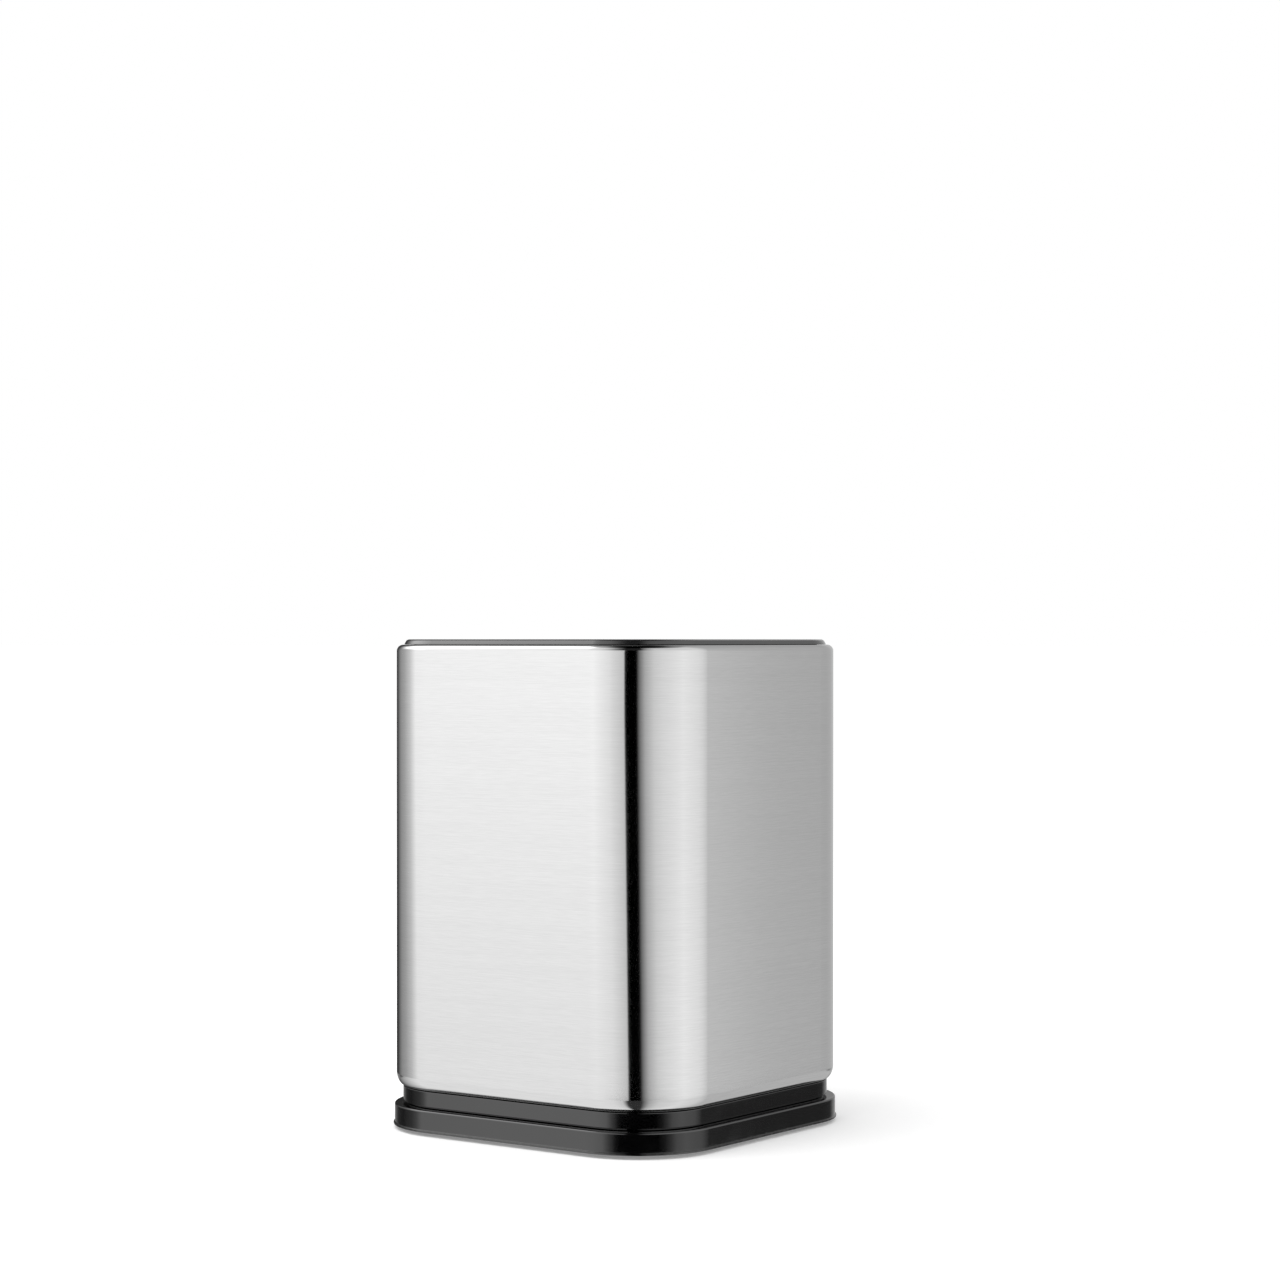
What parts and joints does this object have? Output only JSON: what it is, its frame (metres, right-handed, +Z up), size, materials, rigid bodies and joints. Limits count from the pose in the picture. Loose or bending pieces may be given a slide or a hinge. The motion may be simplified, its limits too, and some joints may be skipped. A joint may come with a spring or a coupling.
{
  "type": "cutlery drainer",
  "caption": "Square brushed-steel cutlery drainer with rounded corners, a slotted basket that lifts out, and a black collar that lifts off a drip tray.",
  "frame": {"origin": "on the table under the middle of the drainer, at the lowest face of the feet", "axes": "+Z up through the open mouth, X and Y square to the flat sides, with the pictured corner between -Y and +X"},
  "size_m": [0.117, 0.117, 0.155],
  "materials": {
    "brushed_steel": "fine level brushing, satin",
    "satin_plastic": "satin moulded",
    "gloss_plastic": "polished moulded",
    "soft_rubber": "matte"
  },
  "bodies": {
    "tray": {"drip_tray": "gloss_plastic", "foot_front_left": "soft_rubber", "foot_front_right": "soft_rubber", "foot_rear_left": "soft_rubber", "foot_rear_right": "soft_rubber"},
    "holder": {"base_collar": "gloss_plastic", "outer_sleeve": "brushed_steel"},
    "basket": {"inner_basket": "satin_plastic"}
  },
  "joints": [
    {"name": "holder_lift", "type": "slide", "parent": "tray", "child": "holder", "axis": [0, 0, 1], "range_m": [0, 0.04]},
    {"name": "basket_lift", "type": "slide", "parent": "holder", "child": "basket", "axis": [0, 0, 1], "range_m": [0, 0.15]}
  ]
}
